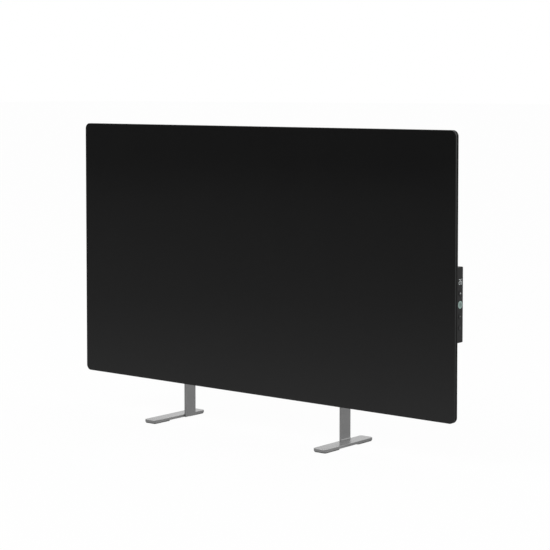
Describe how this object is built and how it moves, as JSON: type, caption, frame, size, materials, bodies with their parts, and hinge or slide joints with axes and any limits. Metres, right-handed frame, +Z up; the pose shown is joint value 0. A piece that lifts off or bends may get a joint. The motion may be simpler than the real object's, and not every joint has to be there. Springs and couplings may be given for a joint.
{
  "type": "panel heater",
  "caption": "Free-standing black glass panel heater on slim L-shaped legs, with a side control box whose sprung keys and number display face right.",
  "frame": {"origin": "on the floor under the middle of the glass sandwich", "axes": "+X right as seen from the front, +Y to the back, +Z up; the glass faces -Y"},
  "size_m": [1, 0.162, 0.643],
  "materials": {
    "black_glass": "toughened, black, polished faces and ground edges",
    "edge_seal": "black silicone",
    "heating_film": "carbon film in a laminated carrier",
    "copper": "bare copper strip",
    "brass": "plain turned brass",
    "leg_coat": "satin silver-grey lacquer on steel",
    "pad_rubber": "moulded grey rubber",
    "bracket_aluminium": "extruded angle, bare",
    "adhesive": "grey silicone, and dark foam tape under the box",
    "screw_steel": "zinc-plated, the cover's screws blackened",
    "box_plastic": "fine-grained black moulding",
    "fascia_plastic": "fine-grained satin black moulding",
    "key_plastic": "fine-grained satin black moulding",
    "power_cap": "lit pale grey-green cap",
    "light_ring": "lit milky light guide",
    "display_lens": "smoked lens",
    "display_block": "black number display",
    "circuit_board": "green solder mask",
    "part_black": "black moulded component",
    "part_blue": "sleeved component",
    "part_metal": "tinned can",
    "terminal_green": "green terminal block",
    "gland_plastic": "black nylon"
  },
  "bodies": {
    "heater": {"front_glass": "black_glass", "rear_glass": "black_glass", "edge_seal": "edge_seal", "heating_film": "heating_film", "upper_busbar": "copper", "lower_busbar": "copper", "busbar_terminals": "brass", "terminal_clips": "brass", "left_foot": "leg_coat", "right_foot": "leg_coat", "left_post": "leg_coat", "right_post": "leg_coat", "leg_welds": "leg_coat", "left_front_pad": "pad_rubber", "left_rear_pad": "pad_rubber", "right_front_pad": "pad_rubber", "right_rear_pad": "pad_rubber", "left_bracket": "bracket_aluminium", "right_bracket": "bracket_aluminium", "bracket_adhesive": "adhesive", "leg_screws": "screw_steel", "leg_nuts": "screw_steel", "box_tape": "adhesive", "control_base": "box_plastic", "control_cover": "box_plastic", "cover_screws": "screw_steel", "cable_gland": "gland_plastic", "gland_nut": "gland_plastic", "control_fascia": "fascia_plastic", "power_light_ring": "light_ring", "display_window": "display_lens", "key_switches": "part_black", "key_board": "circuit_board", "display_module": "display_block", "main_board": "circuit_board", "power_supply": "part_black", "relay": "part_blue", "cord_terminal_block": "terminal_green", "wireless_module": "part_metal", "fuse": "part_metal", "capacitor": "part_blue", "tilt_switch": "part_metal", "buzzer": "part_black", "board_link": "part_black", "thermal_cutout": "part_metal", "glass_sensor": "part_black", "room_sensor": "part_black"},
    "power_key": {"power_button": "power_cap"},
    "plus_key": {"plus_button": "key_plastic"},
    "minus_key": {"minus_button": "key_plastic"},
    "mode_key": {"mode_button": "key_plastic"}
  },
  "joints": [
    {"name": "power_press", "type": "slide", "parent": "heater", "child": "power_key", "axis": [-1, 0, 0], "range_m": [0, 0.0006], "stiffness_N_per_m": 2000},
    {"name": "plus_press", "type": "slide", "parent": "heater", "child": "plus_key", "axis": [-1, 0, 0], "range_m": [0, 0.0006], "stiffness_N_per_m": 2000},
    {"name": "minus_press", "type": "slide", "parent": "heater", "child": "minus_key", "axis": [-1, 0, 0], "range_m": [0, 0.0006], "stiffness_N_per_m": 2000},
    {"name": "mode_press", "type": "slide", "parent": "heater", "child": "mode_key", "axis": [-1, 0, 0], "range_m": [0, 0.0006], "stiffness_N_per_m": 2000}
  ]
}
